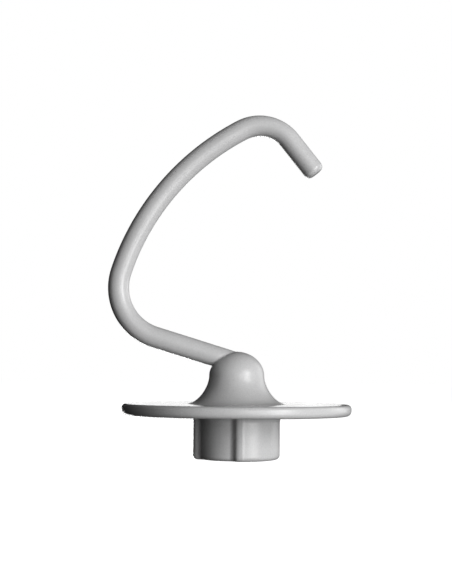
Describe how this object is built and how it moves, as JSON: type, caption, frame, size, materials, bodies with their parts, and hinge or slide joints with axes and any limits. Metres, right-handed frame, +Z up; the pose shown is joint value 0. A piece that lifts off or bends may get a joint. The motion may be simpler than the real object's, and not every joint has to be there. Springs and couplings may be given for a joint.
{
  "type": "dough hook",
  "caption": "C-shaped mixer dough hook: a bent round bar on a bell-shaped hub, a round dough shield and a drive collar with a blind shaft socket.",
  "frame": {"origin": "on the drive shaft's axis, in the plane of the collar's rim, which is the plane that the hook stands on", "axes": "+Z up along the drive shaft's axis from the collar to the hook; the bar lies in the XZ plane and leaves the hub towards -X; -Y is the front"},
  "size_m": [0.1059, 0.099, 0.1503],
  "materials": {
    "satin_coat": "satin",
    "bare_aluminium": "satin"
  },
  "bodies": {
    "root": {"hook_arm": "satin_coat", "hub_boss": "satin_coat", "dough_shield": "satin_coat", "drive_collar": "satin_coat"}
  },
  "joints": []
}
